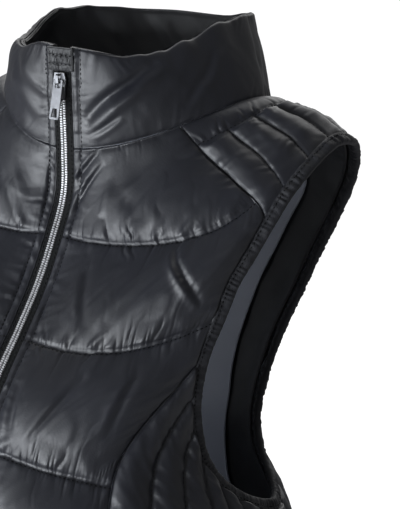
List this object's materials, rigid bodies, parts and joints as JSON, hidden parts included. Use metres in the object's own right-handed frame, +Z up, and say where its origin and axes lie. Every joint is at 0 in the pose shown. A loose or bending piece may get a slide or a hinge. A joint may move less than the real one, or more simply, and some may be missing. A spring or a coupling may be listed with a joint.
{
  "type": "puffer vest",
  "caption": "Sleeveless quilted puffer vest, zipped up and filled out as worn: stand collar, bound armholes, sewn channels and a front zip with a hanging pull tab.",
  "frame": {"origin": "midway between the two high shoulder points, where the neck seam crosses the shoulders; the wearer's shoulders hold the garment up there", "axes": "+Z up, -Y the way the garment faces, +X towards the wearer's left; stored upright, as worn"},
  "size_m": [0.388, 0.2771, 0.6615],
  "materials": {
    "nylon": "black satin nylon shell",
    "trim": "matt black elastic binding, facing and zip tape",
    "lining": "slate grey lining cloth",
    "metal": "bright silver"
  },
  "bodies": {
    "vest": {"front_left": "nylon", "front_right": "nylon", "side_left": "nylon", "side_right": "nylon", "yoke_left": "nylon", "yoke_right": "nylon", "back": "nylon", "collar": "nylon", "collar_inner": "nylon", "zip_garage": "nylon", "armhole_binding_left": "trim", "armhole_binding_right": "trim", "armhole_facing_left": "trim", "armhole_facing_right": "trim", "zip_tape_left": "trim", "zip_tape_right": "trim", "lining_back": "lining", "zip_chain": "metal", "zip_box": "metal", "zip_slider": "metal"},
    "pull_tab": {"pull_tab": "metal"}
  },
  "joints": [
    {"name": "pull_tab", "type": "hinge", "parent": "vest", "child": "pull_tab", "pos_m": [0, -0.093, -0.0034], "axis": [-1, 0, 0], "range_deg": [0, 130]}
  ]
}
